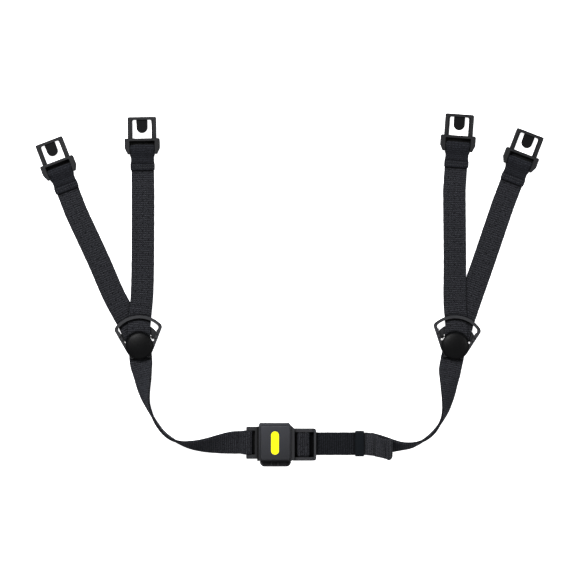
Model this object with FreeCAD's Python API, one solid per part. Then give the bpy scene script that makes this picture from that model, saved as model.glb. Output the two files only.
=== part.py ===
# Four-point helmet chin strap, laid out flat on a table: four clips, two dividers
# and a magnetic buckle, joined by webbing.
# Frame: X to the wearer's-right end, Y up the strap legs, Z out of the table.
# Origin: the table, under the middle of the buckle.  Millimetres and degrees.
import FreeCAD, Part
import math
import os
from FreeCAD import Vector

os.makedirs("parts", exist_ok=True)

# ---------------- shared dimensions ----------------
WEB_W = 15.0                        # webbing width
WEB_T = 0.9                         # one layer
PLY_GAP = 0.05                      # between stacked layers
DOUBLE_T = 2 * WEB_T + PLY_GAP      # two layers sewn together
TABLE_GAP = 0.1                     # webbing clear of the table
REAR_Z = TABLE_GAP                  # underside of the rear legs
FRONT_Z = REAR_Z + WEB_T + PLY_GAP  # underside of the front legs, which cross on top
BAR_R = 1.4                         # bars that webbing is looped round
WRAP_IN = 1.5                       # webbing's inside radius round such a bar
WRAP_OUT = WRAP_IN + WEB_T
FIT = 0.05                          # clearance round let-in pieces
THROUGH = (-1.0, 9.0)               # z range that cuts right through a part

# x, y and lean (anticlockwise) of each clip and divider
CLIPS = {
    "left_front": (-88.8, 204.1, 0.9),
    "left_rear": (-146.1, 189.1, 21.0),
    "right_front": (122.2, 206.0, -4.2),
    "right_rear": (165.3, 194.5, -21.0),
}
DIVIDERS = {"left": (-90.5, 65.8, 4.5), "right": (119.9, 65.8, -7.5)}


# ---------------- solids and edges ----------------
def box(x_min, x_max, y_min, y_max, z_min, z_max):
    corner = Vector(x_min, y_min, z_min)
    return Part.makeBox(x_max - x_min, y_max - y_min, z_max - z_min, corner)


def cyl_x(y, z, x_min, x_max, radius):
    return Part.makeCylinder(radius, x_max - x_min, Vector(x_min, y, z), Vector(1, 0, 0))


def cyl_y(x, z, y_min, y_max, radius):
    return Part.makeCylinder(radius, y_max - y_min, Vector(x, y_min, z), Vector(0, 1, 0))


def cyl_z(x, y, z_min, z_max, radius):
    return Part.makeCylinder(radius, z_max - z_min, Vector(x, y, z_min), Vector(0, 0, 1))


def polygon(points):
    return Part.makePolygon(points + [points[0]])


def prism_x(outline, x_min, x_max):
    face = Part.Face(polygon([Vector(x_min, y, z) for y, z in outline]))
    return face.extrude(Vector(x_max - x_min, 0, 0))


def prism_y(outline, y_min, y_max):
    face = Part.Face(polygon([Vector(x, y_min, z) for x, z in outline]))
    return face.extrude(Vector(0, y_max - y_min, 0))


def prism_z(outline, z_min, z_max):
    face = Part.Face(polygon([Vector(x, y, z_min) for x, y in outline]))
    return face.extrude(Vector(0, 0, z_max - z_min))


def revolved(profile):
    """Body of revolution about Z from (radius, z) points."""
    face = Part.Face(polygon([Vector(radius, 0, z) for radius, z in profile]))
    return face.revolve(Vector(0, 0, 0), Vector(0, 0, 1), 360)


def round_edges(shape, radius, pick):
    """Round the edges that `pick` accepts."""
    edges = [edge for edge in shape.Edges if pick(edge)]
    if not edges:
        return shape
    # the kernel may refuse the whole set: then round one edge at a time
    try:
        rounded = shape.makeFillet(radius, edges)
        if rounded.isValid() and rounded.Volume > 0.5 * shape.Volume:
            return rounded
    except Exception:
        pass
    good = shape
    for edge in edges:
        centre = edge.CenterOfMass
        near = [e for e in good.Edges if (e.CenterOfMass - centre).Length < 0.05]
        if not near:
            continue
        # an edge the kernel refuses stays sharp
        try:
            rounded = good.makeFillet(radius, near[:1])
            if rounded.isValid() and abs(rounded.Volume) > 0.5 * good.Volume:
                good = rounded
        except Exception:
            pass
    return good


def upright(edge, x=None, y=None):
    """True for a straight edge along Z, optionally near one of the given x or y."""
    if len(edge.Vertexes) != 2:
        return False
    start, end = (vertex.Point for vertex in edge.Vertexes)
    if abs(start.x - end.x) > 1e-4 or abs(start.y - end.y) > 1e-4 or abs(start.z - end.z) < 0.3:
        return False
    if x is not None and min(abs(start.x - value) for value in x) > 0.6:
        return False
    return y is None or min(abs(start.y - value) for value in y) <= 0.6


def at_level(edge, z):
    """True for an edge lying wholly in the plane z."""
    bounds = edge.BoundBox
    return abs(bounds.ZMin - z) < 1e-3 and abs(bounds.ZMax - z) < 1e-3


def one(shape):
    """Merge split faces, and unwrap a compound that holds a single solid."""
    merged = shape.removeSplitter()
    return merged.Solids[0] if len(merged.Solids) == 1 else merged


def fuse(parts):
    result = parts[0]
    for part in parts[1:]:
        result = result.fuse(part)
    return one(result)


def put(shape, spot):
    x, y, lean = spot
    placed = shape.copy()
    placed.rotate(Vector(0, 0, 0), Vector(0, 0, 1), lean)
    placed.translate(Vector(x, y, 0))
    return placed


def local_to_world(spot, across, along):
    x, y, lean = spot
    cos, sin = math.cos(math.radians(lean)), math.sin(math.radians(lean))
    return (x + across * cos - along * sin, y + across * sin + along * cos)


def save(name, shape):
    assert shape.Solids and shape.isValid(), name + " is not a valid solid"
    shape.exportStep("parts/" + name + ".step")


# ---------------- anchor clip ----------------
# local frame: x across, y outward along the strap, y = 0 at the outer edge of the collar
RING_W, RING_L, RING_T = 19.0, 14.3, 2.4
WINDOW_W = 12.8
WINDOW_END = RING_L - 1.8            # the ring's outer bar is 1.8 wide
STEP_W, STEP_D = 1.0, 0.5            # shallow step beside the window
COLLAR_W, COLLAR_L, COLLAR_T = 23.3, 10.3, 5.0
SHOULDER_Y = -6.5                    # where the collar's arms start to taper
CLIP_BAR_Y, CLIP_BAR_Z = -6.6, 2.5
CLIP_FLOOR_T = 0.7
SPRING_W, SPRING_L = 7.3, 8.8        # the spring tongue
SPRING_ROOT_Y = WINDOW_END + 0.2
BEAD_R, GROOVE_R = 0.90, 0.96        # the tongue's root and its seat


def clip_ring():
    bottom, top = CLIP_BAR_Z - RING_T / 2, CLIP_BAR_Z + RING_T / 2
    half = RING_W / 2
    inner = WINDOW_W / 2
    outer = inner + STEP_W
    ring = box(-half, half, -1.0, RING_L, bottom, top)
    ring = round_edges(ring, 0.8, lambda e: upright(e, y=[RING_L]))
    window = box(-inner, inner, -0.3, WINDOW_END, 0, 6)
    window = round_edges(window, 1.2, lambda e: upright(e, y=[WINDOW_END]))
    ring = ring.cut(window)
    for x_min, x_max in ((-outer, -inner), (inner, outer)):
        ring = ring.cut(box(x_min - 0.01, x_max, 0.6, WINDOW_END - 0.4, top - STEP_D, top + 1))

    def outer_rim(edge):
        centre = edge.CenterOfMass
        at_side = abs(centre.x) > half - 0.5 or centre.y > RING_L - 0.5
        return at_level(edge, top) and centre.y > 0.5 and at_side
    return round_edges(ring, 0.25, outer_rim)


def clip_collar():
    half, foot_half = COLLAR_W / 2, 9.85
    collar = prism_z([(-half, 0), (half, 0), (half, SHOULDER_Y), (foot_half, -COLLAR_L),
                      (-foot_half, -COLLAR_L), (-half, SHOULDER_Y)], 0.0, COLLAR_T)
    collar = round_edges(collar, 0.9, lambda e: upright(e, y=[0.0]))
    collar = round_edges(collar, 0.6, lambda e: at_level(e, COLLAR_T))
    # opening between the arms
    opening = [(-8.45, -1.7), (8.45, -1.7), (8.45, -8.2), (8.0, -11), (-8.0, -11), (-8.45, -8.2)]
    return collar.cut(prism_z(opening, -1, 6))


def make_clip():
    bar = cyl_x(CLIP_BAR_Y, CLIP_BAR_Z, -9.2, 9.2, BAR_R)
    # closed floor of the slot outward of the bar
    floor = box(-9.0, 9.0, -4.5, -1.0, 0.0, CLIP_FLOOR_T)
    # a low ledge along the foot of each arm, just clear of the strap
    ledges = [box(x_min, x_max, -9.6, -4.0, 0.0, CLIP_FLOOR_T)
              for x_min, x_max in ((-9.0, -7.75), (7.75, 9.0))]
    clip = fuse([clip_collar(), clip_ring(), bar, floor] + ledges)
    # groove the spring tongue is rooted in
    half = SPRING_W / 2 + FIT
    return one(clip.cut(cyl_x(SPRING_ROOT_Y, CLIP_BAR_Z, -half, half, GROOVE_R)))


def make_clip_tongue():
    half = SPRING_W / 2
    round_y = WINDOW_END - SPRING_L + half       # centre of the rounded tip
    bottom, top = CLIP_BAR_Z - 0.75, CLIP_BAR_Z + 0.55
    plate = box(-half, half, round_y, SPRING_ROOT_Y - 0.3, bottom, top)
    plate = plate.fuse(cyl_z(0, round_y, bottom, top, half)).removeSplitter()
    plate = round_edges(plate, 0.25, lambda e: at_level(e, top)
                        and e.CenterOfMass.y < SPRING_ROOT_Y - 0.5)
    return fuse([plate, cyl_x(SPRING_ROOT_Y, CLIP_BAR_Z, -half, half, BEAD_R)])


# ---------------- divider ----------------
# local frame: origin under the disc centre, y up the straps
FRAME_T = 4.2
DISC_R, SEAT_R, SEAT_HOLE_R = 9.0, 9.4, 5.5
ARC_IN, ARC_OUT = 18.3, 20.3             # outer strap bar
MID_IN, MID_OUT = 10.4, 14.6             # middle strap bar
CORNER_X, CORNER_Y, CORNER_R = 12.7, 11.7, 3.0
WINDOW_ANGLE, MID_ANGLE = 45.5, 76       # half angles of the window and the middle bar
PIN_R, PIN_HALF, PIN_Y, PIN_Z = 0.5, 6.7, -7.6, 3.1
KNUCKLE_R, KNUCKLE_HALF = 0.95, 4.75

# how the straps rise over the middle bar: (distance from the disc centre, height)
WAVE = [(0.0, 0.0), (7.9, 0.0), (10.2, 2.4), (14.8, 2.4), (18.0, 0.0), (60.0, 0.0)]


def polar(radius, angle):
    """Point at an angle in degrees clockwise from +y."""
    return (radius * math.sin(math.radians(angle)), radius * math.cos(math.radians(angle)))


def ring_sector(r_in, r_out, start, end, z_min, z_max):
    """Annular sector between two angles in degrees clockwise from +y."""
    steps = 24
    wedge = [(0, 0)] + [polar(1.3 * r_out, start + (end - start) * i / steps)
                        for i in range(steps + 1)]
    ring = cyl_z(0, 0, z_min, z_max, r_out).cut(cyl_z(0, 0, z_min - 1, z_max + 1, r_in))
    return ring.common(prism_z(wedge, z_min, z_max))


def wave_line(z, r_max):
    return [(radius, z + rise) for radius, rise in WAVE if radius < r_max] + [(r_max, z)]


def disc_hull(x, y, radius):
    """Hull of the seat disc and a disc at (x, y)."""
    facing = math.atan2(y, x)
    swing = math.acos((SEAT_R - radius) / math.hypot(x, y))
    touch = []
    for side in (1, -1):
        cos, sin = math.cos(facing + side * swing), math.sin(facing + side * swing)
        touch.append(((SEAT_R * cos, SEAT_R * sin), (x + radius * cos, y + radius * sin)))
    (seat_a, corner_a), (seat_b, corner_b) = touch
    quad = prism_z([seat_a, corner_a, corner_b, seat_b], 0.0, FRAME_T)
    seat = cyl_z(0, 0, 0.0, FRAME_T, SEAT_R)
    return seat.fuse(quad).fuse(cyl_z(x, y, 0.0, FRAME_T, radius)).removeSplitter()


def divider_window():
    """Round-ended slot between the middle and outer bars."""
    window = ring_sector(MID_OUT, ARC_IN, -WINDOW_ANGLE, WINDOW_ANGLE, *THROUGH)
    for side in (-1, 1):
        x, y = polar((MID_OUT + ARC_IN) / 2, side * WINDOW_ANGLE)
        window = window.fuse(cyl_z(x, y, *THROUGH, (ARC_IN - MID_OUT) / 2))
    return window


def cut_strap_room(body):
    """Room for the straps under the wave, and for the flat chin webbing."""
    channel = prism_z([(-9.0, -13), (9.0, -13), (9.0, 1.0), (17.4, 22), (17.4, 30),
                       (-17.4, 30), (-17.4, 22), (-9.0, 1.0)], *THROUGH)
    under_wave = revolved([(0, -1)] + wave_line(2.2, 40.0) + [(40.0, -1)])
    high = under_wave.common(channel).common(box(-30, 30, 1.0, 40, -2, 10))
    flat = channel.common(box(-30, 30, -20, 1.05, -2, 2.2))
    return body.cut(high).cut(flat)


def make_divider_frame():
    hull = disc_hull(-CORNER_X, CORNER_Y, CORNER_R).fuse(disc_hull(CORNER_X, CORNER_Y, CORNER_R))
    hull = hull.removeSplitter()
    # open everything between the seat, the arms and the bars
    body = hull.cut(divider_window())
    inner_slot = ring_sector(7.0, MID_IN + 0.1, -72, 72, *THROUGH)
    body = body.cut(inner_slot.cut(box(-30, 30, -30, 2.6, -2, 10)))
    body = body.cut(cyl_z(0, 0, *THROUGH, SEAT_HOLE_R))
    body = body.cut(box(-5.0, 5.0, 2.4, 8.0, *THROUGH))
    body = cut_strap_room(body)
    arc = ring_sector(ARC_IN, ARC_OUT, -47, 47, 2.4, 4.6)
    middle = ring_sector(MID_IN, MID_OUT, -MID_ANGLE, MID_ANGLE, 0.0, 2.3).common(hull)
    # the ends of the middle bar run on down to the seat, each with a small hole
    for start, end in ((-MID_ANGLE, -54), (54, MID_ANGLE)):
        middle = middle.fuse(ring_sector(9.3, MID_IN + 0.5, start, end, 0.0, 1.45).common(hull))
    body = body.fuse(arc).fuse(middle)
    for side in (-1, 1):
        body = body.cut(cyl_z(*polar(9.8, side * 71.0), *THROUGH, 0.75))
    # ears that carry the cap's pin, and the gap between them for its knuckle
    for x_min, x_max in ((-6.8, -5.0), (5.0, 6.8)):
        body = body.fuse(box(x_min, x_max, PIN_Y - KNUCKLE_R, -5.8, 2.2, PIN_Z))
        body = body.fuse(cyl_x(PIN_Y, PIN_Z, x_min, x_max, KNUCKLE_R))
    gap_half = KNUCKLE_HALF + 0.2
    body = body.cut(box(-gap_half, gap_half, -12, -6.5, -1, 8))
    body = body.cut(cyl_x(PIN_Y, PIN_Z, -8, 8, PIN_R))
    # two small dimples in the top of each arm
    for side in (-1, 1):
        for x, y, radius in ((12.3, 6.6, 0.65), (11.2, 4.0, 0.5)):
            body = body.cut(cyl_z(side * x, y, FRAME_T - 0.5, 9, radius))
    # only the largest solid is the frame
    return max(body.removeSplitter().Solids, key=lambda solid: solid.Volume)


def make_divider_pin():
    return cyl_x(PIN_Y, PIN_Z, -PIN_HALF, PIN_HALF, PIN_R)


def make_lock_cap():
    dome_r, dome_z, dome_rise = DISC_R - 0.5, 5.9, 1.4
    profile = [(0, 4.3), (DISC_R, 4.3), (DISC_R, 5.2), (DISC_R - 0.12, 5.55), (dome_r, dome_z)]
    for i in range(1, 8):
        angle = math.radians(i * 90.0 / 8)
        profile.append((dome_r * math.cos(angle), dome_z + dome_rise * math.sin(angle) ** 1.3))
    profile.append((0, dome_z + dome_rise))
    cap = revolved(profile).fuse(cyl_z(0, 0, 2.1, 4.4, 5.0))
    half = KNUCKLE_HALF
    knuckle = cyl_x(PIN_Y, PIN_Z, -half, half, KNUCKLE_R)
    knuckle = knuckle.fuse(box(-half, half, PIN_Y - 0.5, PIN_Y + 0.5, PIN_Z, 4.5))
    return one(cap.fuse(knuckle).cut(cyl_x(PIN_Y, PIN_Z, -5, 5, PIN_R + FIT)))


# ---------------- strap legs ----------------
LEG_END_Y = -34.0           # clip frame: where the clip end meets the leg
HEM_BASE = REAR_Z + DOUBLE_T
HEM_Z = HEM_BASE + 1.0      # top of the hem
STITCH_ROWS = (-18.8, -20.5)
STITCH_HALF, STITCH_PITCH, STITCH_L = 6.4, 1.6, 1.1

# per leg: second station (y in the clip frame), two waypoints, the lean of the last
# stretch, and how far short of the disc centre the leg stops
LEGS = {
    "left_front": (-38.0, [(-88.4, 123.0), (-89.0, 99.0)], 0.9, 1.2),
    "left_rear": (-37.0, [(-118.1, 123.0), (-107.6, 99.0)], 25.0, 3.2),
    "right_front": (-38.0, [(119.9, 123.0), (119.8, 96.0)], -4.2, 1.2),
    "right_rear": (-37.0, [(139.5, 123.0), (130.8, 98.0)], -18.5, 3.2),
}


def flat_strap(stations):
    """Tall strip following centre points, its sides smooth curves."""
    left, right = [], []
    last = len(stations) - 1
    for i, (x, y) in enumerate(stations):
        before, after = stations[max(0, i - 1)], stations[min(last, i + 1)]
        span = math.hypot(after[0] - before[0], after[1] - before[1])
        side_x = -(after[1] - before[1]) / span * WEB_W / 2
        side_y = (after[0] - before[0]) / span * WEB_W / 2
        left.append(Vector(x + side_x, y + side_y, -1.0))
        right.append(Vector(x - side_x, y - side_y, -1.0))

    def curve(points):
        spline = Part.BSplineCurve()
        spline.interpolate(points)
        return spline.toShape()
    wire = Part.Wire([curve(left), Part.makeLine(left[-1], right[-1]),
                      curve(right[::-1]), Part.makeLine(right[0], left[0])])
    return Part.Face(wire).extrude(Vector(0, 0, 9.0))


def wrap_tangent(bar, point, side):
    """Where a line from `point` touches the webbing wrapped round `bar`."""
    run, rise = point[0] - bar[0], point[1] - bar[1]
    angle = math.atan2(rise, run) - side * math.acos(WRAP_OUT / math.hypot(run, rise))
    return (bar[0] + WRAP_OUT * math.cos(angle), bar[1] + WRAP_OUT * math.sin(angle))


def clip_end(front):
    """End of a leg: round the clip's bar, folded back on itself and hemmed."""
    half = WEB_W / 2
    bar = (CLIP_BAR_Y, CLIP_BAR_Z)
    fold = (-12.8, HEM_BASE)
    single_top = REAR_Z + WEB_T
    far_y = LEG_END_Y - 0.5
    outline = [(CLIP_BAR_Y, REAR_Z), bar, wrap_tangent(bar, fold, 1), fold,
               (-21.8, HEM_BASE), (-21.8, single_top), (-26.0, single_top)]
    if front:
        # a front leg climbs to its higher level
        front_top = FRONT_Z + WEB_T
        outline += [(LEG_END_Y, front_top), (far_y, front_top), (far_y, FRONT_Z),
                    (LEG_END_Y, FRONT_Z), (-26.0, REAR_Z)]
    else:
        outline += [(far_y, single_top), (far_y, REAR_Z)]
    end = prism_x(outline, -half, half)
    hem = prism_x([(-17.6, HEM_BASE - 0.2), (-17.6, HEM_BASE + 0.5), (-18.1, HEM_Z),
                   (-21.3, HEM_Z), (-21.9, HEM_BASE + 0.5), (-21.9, HEM_BASE - 0.2)],
                  -half - 0.2, half + 0.2)
    end = one(end.fuse(cyl_x(*bar, -half, half, WRAP_OUT)).fuse(hem))if False else \
        end.fuse(cyl_x(*bar, -half, half, WRAP_OUT)).fuse(hem)
    return one(end.cut(cyl_x(*bar, -half - 1, half + 1, WRAP_IN)))


def make_stitching():
    """Rows of stitches across a hem."""
    stitches = []
    for y in STITCH_ROWS:
        x = -STITCH_HALF
        while x < STITCH_HALF:
            stitches.append(box(x, x + STITCH_L, y - 0.17, y + 0.17, HEM_Z, HEM_Z + 0.22))
            x += STITCH_PITCH
    return Part.makeCompound(stitches)


def make_leg(side, end):
    name = side + "_" + end
    second_y, waypoints, lean, stop = LEGS[name]
    x, y, _ = DIVIDERS[side]
    stations = [local_to_world(CLIPS[name], 0, along) for along in (LEG_END_Y, second_y)]
    stations += waypoints
    # the last stretch runs in line with the disc centre
    stations += [local_to_world((x, y, lean), 0, along) for along in (10, stop)]
    bottom = FRONT_Z if end == "front" else REAR_Z
    wave = revolved(wave_line(bottom, 200.0) + wave_line(bottom + WEB_T, 200.0)[::-1])
    wave.translate(Vector(x, y, 0))
    strap = flat_strap(stations).common(wave)
    return fuse([strap, put(clip_end(end == "front"), CLIPS[name])])


# ---------------- chin webbing ----------------
# (x, y, tilt) down from each divider and in to the buckle; tilt 90 stands on edge
CHIN = {
    "left": [
        (-89.6, 54.9, 0), (-88.8, 50.3, 26), (-87.9, 43.0, 44), (-87.0, 35.0, 61),
        (-85.3, 27.5, 76), (-82.6, 21.0, 84), (-79.6, 15.2, 89), (-75.2, 9.0, 90),
        (-70.1, 4.6, 90), (-63.5, 1.4, 83), (-56.8, 0.0, 71.5), (-50.1, -0.4, 61),
        (-43.5, -0.1, 49), (-36.8, 0.6, 35), (-30.1, 1.2, 16), (-25.0, 1.3, 0)],
    "right": [
        (117.7, 55.0, 0), (116.7, 50.4, 9), (116.0, 45.7, 26), (115.6, 40.3, 42),
        (115.2, 35.0, 51), (114.6, 29.7, 62), (113.7, 24.3, 71), (112.1, 19.0, 80),
        (109.4, 13.7, 86), (105.5, 8.3, 89), (100.5, 4.0, 88), (95.2, 1.1, 83),
        (89.9, -0.5, 76), (84.5, -0.9, 71), (79.2, -0.6, 60), (73.9, -0.1, 46),
        (68.0, 0.3, 27), (63.6, 0.4, 9), (60.6, 0.4, 0)],
}
MAIN_X, MAIN_Y, _ = CHIN["right"][-1]     # the single flat layer starts here
MAIN_Z0 = 0.95                            # single layer running into the adjuster
MAIN_Z1 = MAIN_Z0 + WEB_T
TAIL_Z0 = MAIN_Z1 + PLY_GAP               # free tail lying on it
TAIL_Z1 = TAIL_Z0 + WEB_T
LOOP_X, LOOP_Y, LOOP_Z = -17.85, 1.3, 3.0     # bar the left webbing loops round
ADJ_X0, ADJ_X1, ADJ_Z0, ADJ_Z1 = 15.5, 21.9, 3.0, 5.2    # adjuster's centre bar


def webbing_section(centre, tangent, width_dir, half_width, thickness):
    """Rectangular wire square to the tangent."""
    across = width_dir - tangent * width_dir.dot(tangent)
    across.normalize()
    normal = tangent.cross(across)
    across = across * half_width
    normal = normal * (thickness / 2)
    return polygon([centre + across + normal, centre - across + normal,
                    centre - across - normal, centre + across - normal])


def loft(wires):
    solid = Part.makeLoft(wires, True, True)
    if solid.Volume < 0:
        solid.reverse()
    return solid


def centre_height(tilt, thickness, lift):
    """Centre of tilted webbing whose low edge is on the table, plus a lift."""
    angle = math.radians(tilt)
    upright_part = WEB_W / 2 * math.sin(angle) + thickness / 2 * math.cos(angle)
    return upright_part + TABLE_GAP + lift


def twisted(stations, turn):
    """Webbing through (x, y, tilt, thickness, lift); the edge on the `turn` side
    of the path (1 left, -1 right) rises."""
    last = len(stations) - 1
    centres = [Vector(x, y, centre_height(tilt, thickness, lift))
               for x, y, tilt, thickness, lift in stations]
    wires = []
    for i, (_, _, tilt, thickness, _) in enumerate(stations):
        angle = math.radians(tilt)
        tangent = centres[min(last, i + 1)] - centres[max(0, i - 1)]
        if i in (0, last):
            tangent.z = 0
        tangent.normalize()
        level = Vector(-tangent.y * turn, tangent.x * turn, 0)
        level.normalize()
        width_dir = level * math.cos(angle) + Vector(0, 0, 1) * math.sin(angle)
        wires.append(webbing_section(centres[i], tangent, width_dir, WEB_W / 2, thickness))
    return loft(wires)


def smooth(points, step):
    """Even out (x, y, tilt) stations with a Catmull-Rom curve."""
    result = []
    last = len(points) - 1
    for i in range(last):
        start, end = points[i], points[i + 1]
        four = (points[max(0, i - 1)], start, end, points[min(last, i + 2)])
        pieces = max(1, int(round(math.hypot(end[0] - start[0], end[1] - start[1]) / step)))
        for j in range(pieces):
            t = j / pieces
            x, y, tilt = [
                0.5 * (2 * b + (c - a) * t + (2 * a - 5 * b + 4 * c - d) * t * t
                       + (3 * b - a - 3 * c + d) * t ** 3)
                for a, b, c, d in zip(*four)]
            result.append((x, y, min(90.0, max(0.0, tilt))))
    result.append(tuple(points[-1]))
    return result


def chin_path(side):
    """Flat stretch under the divider, then the twisting run."""
    top_x, top_y = local_to_world(DIVIDERS[side], 0, -0.1)
    first_x, first_y, _ = CHIN[side][0]
    head = [(top_x, top_y, 0.0), ((top_x + first_x) / 2, (top_y + first_y) / 2, 0.0)]
    return smooth(head + CHIN[side], 3.0)


def left_chin():
    run = twisted([station + (DOUBLE_T, 0.0) for station in chin_path("left")], 1)
    # the end goes round the buckle's bar
    root_x, bottom, top = -25.2, TABLE_GAP, TABLE_GAP + DOUBLE_T
    y_min, y_max = LOOP_Y - WEB_W / 2, LOOP_Y + WEB_W / 2
    bar = (LOOP_X, LOOP_Z)
    loop = prism_y([(root_x, bottom), (root_x, top), wrap_tangent(bar, (root_x, top), 1),
                    bar, wrap_tangent(bar, (root_x, bottom), -1)], y_min, y_max)
    joint = box(root_x - 0.6, root_x + 0.3, y_min, y_max, bottom, top)
    loop = fuse([loop, cyl_y(*bar, y_min, y_max, WRAP_OUT), joint])
    loop = loop.cut(cyl_y(*bar, y_min - 1, y_max + 1, WRAP_IN))
    return fuse([run, loop])


def right_layers(x):
    """Thickness and lift: one raised layer at MAIN_X, doubled on the table 7 mm on."""
    blend = min(1.0, max(0.0, (x - MAIN_X) / 7.0))
    return WEB_T + (DOUBLE_T - WEB_T) * blend, (MAIN_Z0 - TABLE_GAP) * (1 - blend)


def right_chin():
    run = twisted([station + right_layers(station[0]) for station in chin_path("right")], -1)
    flat = box(15.6, MAIN_X + 0.05, MAIN_Y - WEB_W / 2, MAIN_Y + WEB_W / 2, MAIN_Z0, MAIN_Z1)
    return fuse([run, flat])


def adjuster_webbing():
    """Up the left slot, over the centre bar and down the right slot."""
    x_min, x_max, under = ADJ_X0 - PLY_GAP, ADJ_X1 + PLY_GAP, ADJ_Z1 + PLY_GAP
    top = under + WEB_T
    outer = box(x_min - WEB_T, x_max + WEB_T, MAIN_Y - WEB_W / 2, MAIN_Y + WEB_W / 2,
                TAIL_Z0, top)
    outer = round_edges(outer, 1.0, lambda e: e.BoundBox.ZMin > top - 0.01
                        and e.BoundBox.YLength > 10)
    return one(outer.cut(box(x_min, x_max, -9, 9, 0, under)))


# ---------------- free tail and keeper ----------------
# (x, y, tilt, thickness): flat, tipping over the chin webbing, then a thick hem
TAIL = [
    (31.4, 0.5, 0.0, 0.9), (45.0, 0.5, 0.0, 0.9), (59.4, 0.5, 0.0, 0.9),
    (61.6, 0.4, 3.0, 0.9), (64.0, 0.0, 10.0, 0.9), (66.2, -0.5, 16.0, 1.9),
    (70.0, -1.1, 23.0, 2.3), (74.0, -1.8, 25.5, 2.3), (77.5, -2.5, 26.0, 2.1),
]
TAIL_CLEAR = 0.12


def chin_at(run, x):
    """y, tilt, thickness and centre height of the right chin webbing at x."""
    for start, end in zip(run, run[1:]):
        if start[0] <= x <= end[0]:
            part = (x - start[0]) / max(1e-6, end[0] - start[0])
            y = start[1] + (end[1] - start[1]) * part
            tilt = start[2] + (end[2] - start[2]) * part
            thickness, lift = right_layers(x)
            return y, tilt, thickness, centre_height(tilt, thickness, lift)
    return MAIN_Y, 0.0, WEB_T, (MAIN_Z0 + MAIN_Z1) / 2


def tail_height(run, x, y, tilt, thickness, half_width):
    """Centre height that clears the chin webbing across the tail's width."""
    angle = math.radians(tilt)
    height = (TAIL_Z0 + TAIL_Z1) / 2
    if x <= 60:
        return height
    for offset in (-1.1, -0.5, 0.0, 0.5, 1.1):
        chin_y, chin_tilt, chin_t, chin_z = chin_at(run, x + offset)
        cos, sin = math.cos(math.radians(chin_tilt)), math.sin(math.radians(chin_tilt))
        for i in range(31):
            across = -7.5 + i * 0.5
            top_y = chin_y + across * cos - chin_t / 2 * sin
            top_z = chin_z + across * sin + chin_t / 2 * cos
            if abs(top_y - y) <= half_width * math.cos(angle) + 0.3:
                height = max(height, top_z - (top_y - y) * math.tan(angle)
                             + thickness / 2 / math.cos(angle) + TAIL_CLEAR)
    return height


def tail():
    run = sorted(station for station in smooth(CHIN["right"], 1.0) if station[1] < 15)
    halves = [WEB_W / 2 if x < 65 else WEB_W / 2 - 0.3 for x, _, _, _ in TAIL]
    centres = [Vector(x, y, tail_height(run, x, y, tilt, thickness, half))
               for (x, y, tilt, thickness), half in zip(TAIL, halves)]
    last = len(TAIL) - 1
    wires = []
    for i, (_, _, tilt, thickness) in enumerate(TAIL):
        tangent = centres[min(last, i + 1)] - centres[max(0, i - 1)]
        tangent.normalize()
        if i < 3:
            # the flat stretch runs straight along X
            tangent = Vector(1, 0, 0)
        angle = math.radians(tilt)
        width_dir = Vector(0, math.cos(angle), math.sin(angle))
        wires.append(webbing_section(centres[i], tangent, width_dir, halves[i], thickness))
    return loft(wires)


def keeper():
    outer = box(53.4, 59.2, -7.8, 8.8, 0.05, 3.75)
    outer = round_edges(outer, 1.2, lambda e: e.BoundBox.XLength > 5
                        and len(e.Vertexes) == 2 and e.BoundBox.YLength < 0.01)
    return one(outer.cut(box(50, 62, -7.2, 8.2, 0.83, 2.9)))


# ---------------- buckle tongue ----------------
MAG_R, MAG_X = 4.0, -0.2
MAG_YS = {"lower": -4.6, "upper": 5.8}
TONGUE_MAG_Z = (1.0, 3.0)
SOCKET_MAG_Z = (5.4, 7.95)
BASE_X, BASE_Y, BASE_T = (-5.15, 4.75), (-9.35, 10.55), 0.95    # base plate
LOOP_END_X = LOOP_X - 1.45
TAB_Y, TAB_TOP = -14.6, 5.5


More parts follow.
